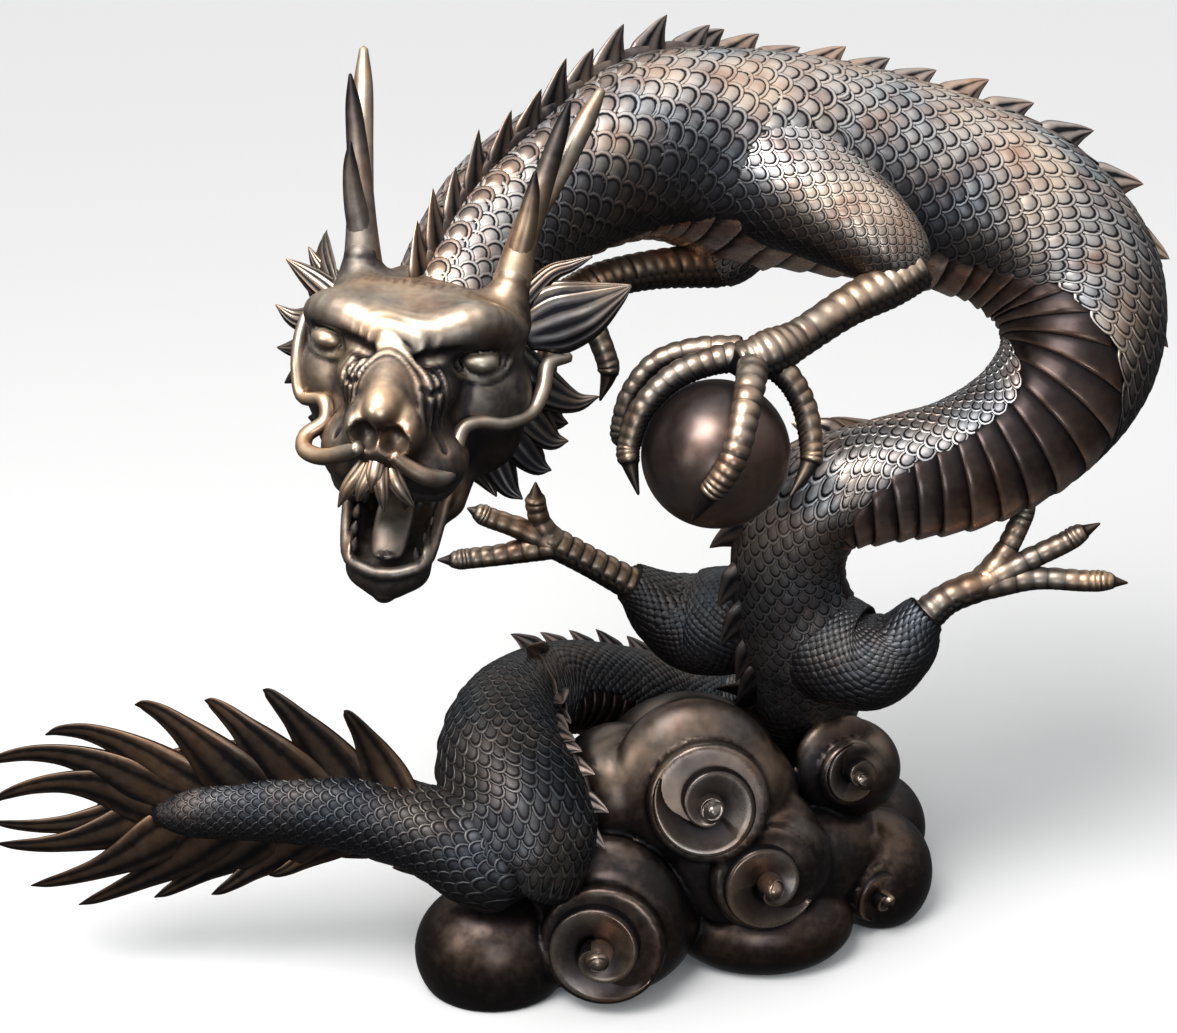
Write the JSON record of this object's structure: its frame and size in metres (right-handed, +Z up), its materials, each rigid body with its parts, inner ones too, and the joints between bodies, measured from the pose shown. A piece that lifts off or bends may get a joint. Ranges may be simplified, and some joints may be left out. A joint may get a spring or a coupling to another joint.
{
  "type": "dragon sculpture",
  "caption": "Cast bronze dragon arched over a bank of scroll clouds, gripping a pearl in a forefoot, with a flame-bladed tail streaming to the side.",
  "frame": {"origin": "middle of the whole sculpture's footprint, on the ground under the clouds", "axes": "+X from the tail tips towards the turn of the body, -Y the way the head faces, +Z up"},
  "size_m": [1.4866, 0.7564, 1.1908],
  "materials": {
    "dark_bronze": "dark brown patina, rubbed paler on the scale rims, brows, whiskers and toes",
    "rubbed_bronze": "smooth, rubbed warm brown",
    "brown_bronze": "smooth satin brown patina with warm rubbed rims"
  },
  "bodies": {
    "root": {"dragon": "dark_bronze", "pearl": "rubbed_bronze", "cloud_base": "brown_bronze"}
  },
  "joints": []
}
